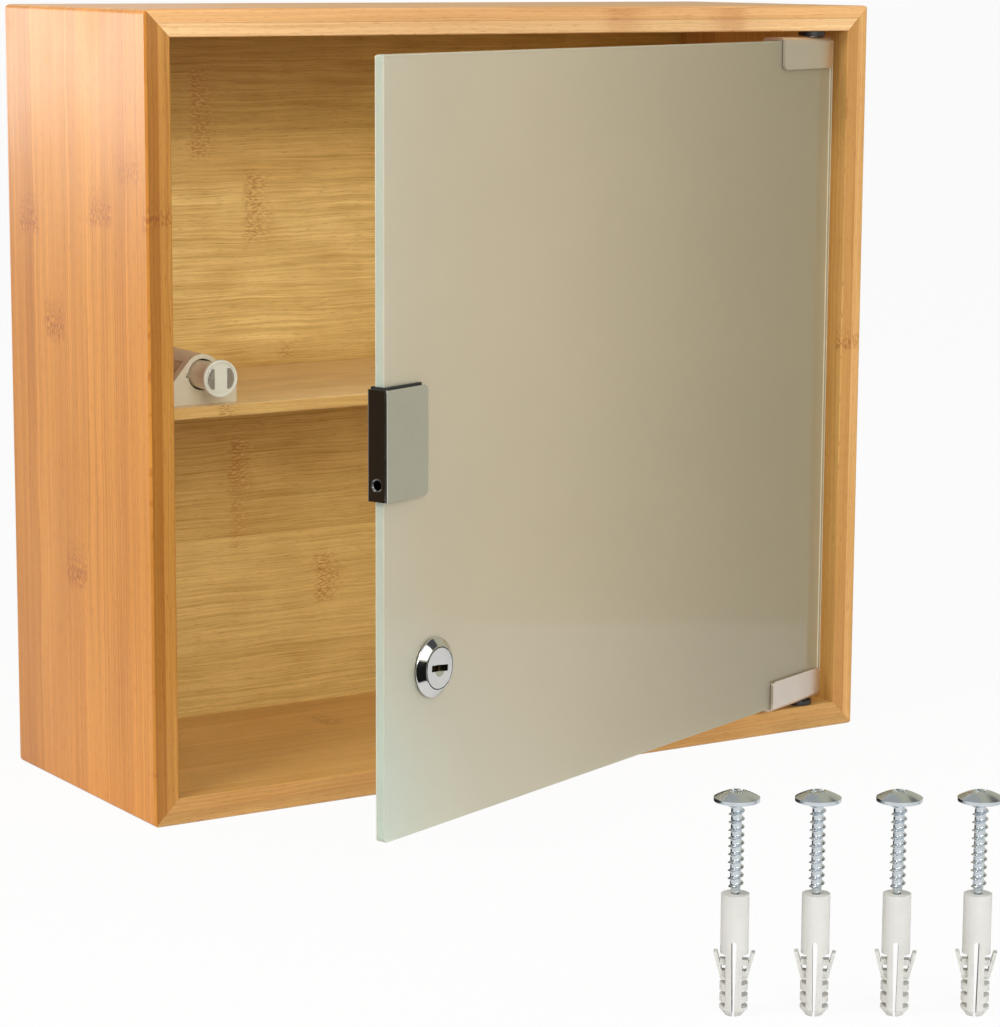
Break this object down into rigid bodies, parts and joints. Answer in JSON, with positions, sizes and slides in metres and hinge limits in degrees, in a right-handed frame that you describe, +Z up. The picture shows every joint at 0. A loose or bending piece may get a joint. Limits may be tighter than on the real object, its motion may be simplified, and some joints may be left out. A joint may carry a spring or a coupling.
{
  "type": "medicine cabinet",
  "caption": "Wall-mounted bamboo medicine cabinet with shelf, frosted glass door on pivot clamps, cam lock, push catch and loose wall fixings",
  "frame": {"origin": "middle of the underside of the carcass, on the surface it stands on", "axes": "+X to the right seen from the front, +Y to the wall, +Z up; the door's outside faces -Y when closed"},
  "size_m": [0.325, 0.4484, 0.298],
  "materials": {
    "bamboo_side": "satin lacquer",
    "bamboo_end": "satin lacquer",
    "bamboo_panel": "satin lacquer",
    "spline_wood": "plain",
    "pin_steel": "bright drawn",
    "black_nylon": "moulded",
    "ivory_plastic": "moulded",
    "head_plastic": "moulded",
    "beige_plastic": "moulded",
    "zinc_steel": "zinc plated",
    "spring_steel": "bright drawn",
    "ferrite": "sintered",
    "pole_steel": "ground",
    "frosted_glass": "etched, polished edges",
    "satin_nickel": "satin nickel",
    "liner_rubber": "moulded",
    "grub_steel": "blackened",
    "chrome": "polished",
    "wafer_brass": "stamped",
    "white_nylon": "moulded"
  },
  "bodies": {
    "cabinet": {"left_side": "bamboo_side", "right_side": "bamboo_side", "top_board": "bamboo_end", "bottom_board": "bamboo_end", "back_panel": "bamboo_panel", "shelf": "bamboo_panel", "corner_splines": "spline_wood", "panel_pins": "pin_steel", "hinge_bush_upper": "black_nylon", "hinge_bush_lower": "black_nylon", "catch_housing": "ivory_plastic", "catch_screws": "zinc_steel", "catch_spring": "spring_steel", "wall_screws": "zinc_steel", "wall_plugs": "white_nylon"},
    "door": {"door_glass": "frosted_glass", "hinge_clamp_upper": "satin_nickel", "hinge_clamp_lower": "satin_nickel", "hinge_pin_upper": "pin_steel", "hinge_pin_lower": "pin_steel", "clamp_liners": "liner_rubber", "clamp_grub_screws": "grub_steel", "handle_clip": "chrome", "handle_liner": "liner_rubber", "handle_set_screw": "grub_steel", "lock_housing": "chrome", "lock_gasket": "liner_rubber", "lock_washer": "liner_rubber", "lock_nut": "chrome"},
    "lock_rotor": {"lock_plug": "chrome", "lock_wafers": "wafer_brass", "lock_cam": "zinc_steel", "lock_cam_screw": "zinc_steel"},
    "catch_plunger": {"plunger_sleeve": "beige_plastic", "plunger_head": "head_plastic", "plunger_magnet": "ferrite", "plunger_pole_plates": "pole_steel"}
  },
  "joints": [
    {"name": "door_hinge", "type": "hinge", "parent": "cabinet", "child": "door", "pos_m": [0.139, -0.0535, 0.149], "axis": [0, 0, 1], "range_deg": [-21.8, 88.2]},
    {"name": "lock_turn", "type": "hinge", "parent": "door", "child": "lock_rotor", "pos_m": [-0.10194, -0.14987, 0.0715], "axis": [0.3714, -0.9285, 0], "range_deg": [0, 96]},
    {"name": "catch_push", "type": "slide", "parent": "cabinet", "child": "catch_plunger", "axis": [0, -1, 0], "range_m": [-0.012, 0], "stiffness_N_per_m": 100, "springref_m": 0.02, "deforming": ["catch_spring"]}
  ]
}
